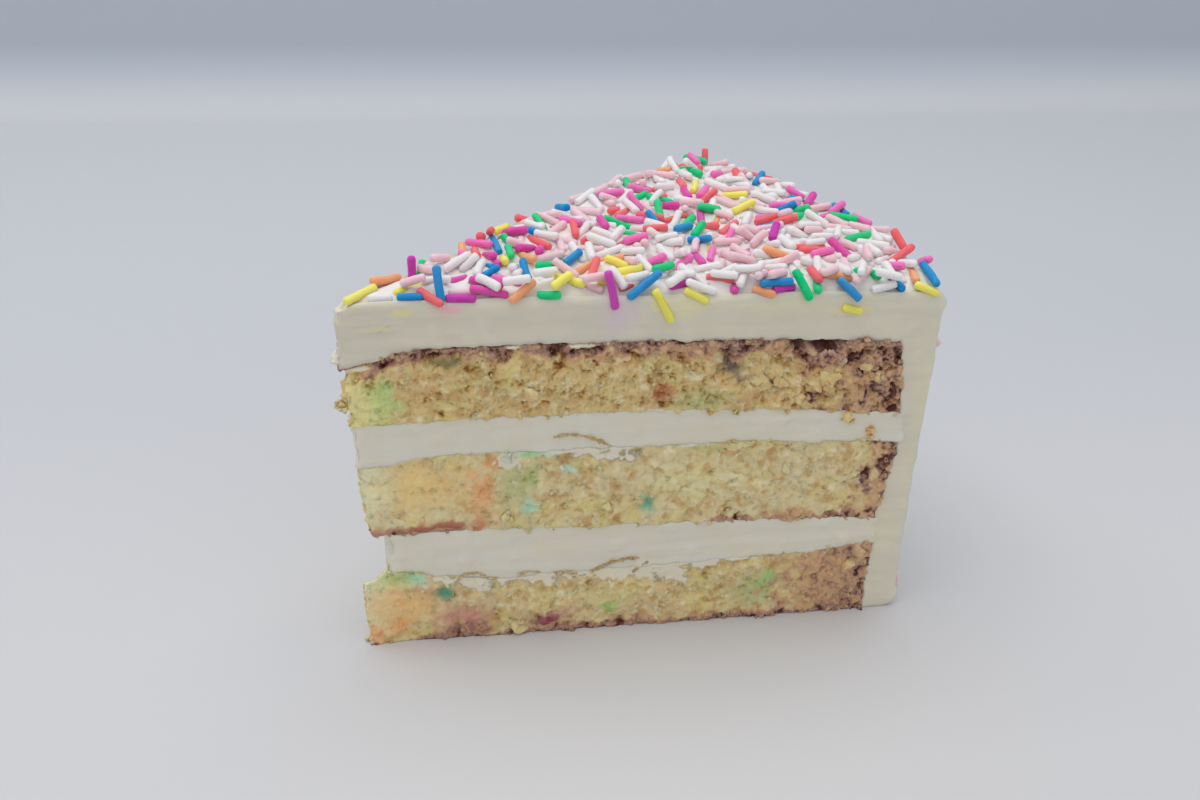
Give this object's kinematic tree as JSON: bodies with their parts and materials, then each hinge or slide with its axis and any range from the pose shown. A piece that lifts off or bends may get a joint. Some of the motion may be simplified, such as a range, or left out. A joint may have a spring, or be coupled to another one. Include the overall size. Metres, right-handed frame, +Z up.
{
  "type": "slice of layered birthday cake",
  "caption": "Wedge of layered sponge cake with buttercream fillings, iced over the top and outer side, the top strewn with coloured sugar strands.",
  "frame": {"origin": "middle of the slice's flat underside, at the centroid of the wedge's plan", "axes": "+X along the front cut face from the tip to the iced rim, +Y away from the front cut face, +Z up"},
  "size_m": [0.1116, 0.0805, 0.0797],
  "materials": {
    "sponge": "baked vanilla sponge, open crumb with a browned rim",
    "filling": "whipped buttercream, soft satin",
    "icing": "smoothed buttercream with glazed sugar strands in several colours"
  },
  "bodies": {
    "root": {"sponge_bottom": "sponge", "filling_lower": "filling", "sponge_middle": "sponge", "filling_upper": "filling", "sponge_top": "sponge", "icing": "icing"}
  },
  "joints": []
}
